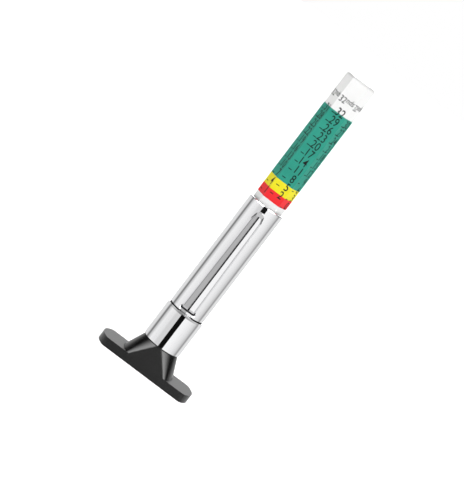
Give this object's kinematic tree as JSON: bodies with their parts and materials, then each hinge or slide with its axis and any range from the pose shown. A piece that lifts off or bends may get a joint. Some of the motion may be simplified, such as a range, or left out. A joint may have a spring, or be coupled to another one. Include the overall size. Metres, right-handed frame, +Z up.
{
  "type": "tire tread depth gauge",
  "caption": "Pen-shaped tread depth gauge: T-shaped foot, rolled chrome sleeve with a channelled seam, and a six-sided sliding stick with coloured bands and a scale in 32nds of an inch.",
  "frame": {"origin": "centre of the foot's flat underside", "axes": "+Z up the sleeve towards the stick's free end, +X along the foot, the sleeve's open seam faces -Y"},
  "size_m": [0.0264, 0.0103, 0.0868],
  "materials": {
    "foot_plastic": "moulded black, satin",
    "chrome": "bright plated, faint lengthwise drawing lines",
    "piston_plastic": "matte black",
    "stick_plastic": "white, satin",
    "pin_steel": "ground",
    "red_print": "printed band",
    "yellow_print": "printed band",
    "green_print": "printed band",
    "ink": "printed black ink"
  },
  "bodies": {
    "barrel": {"foot": "foot_plastic", "sleeve": "chrome"},
    "slider": {"scale_stick": "stick_plastic", "guide_piston": "piston_plastic", "probe_pin": "pin_steel", "red_band": "red_print", "yellow_band": "yellow_print", "green_band": "green_print", "scale_ticks": "ink"}
  },
  "joints": [
    {"name": "scale_slide", "type": "slide", "parent": "barrel", "child": "slider", "axis": [0, 0, -1], "range_m": [0, 0.02705]}
  ]
}
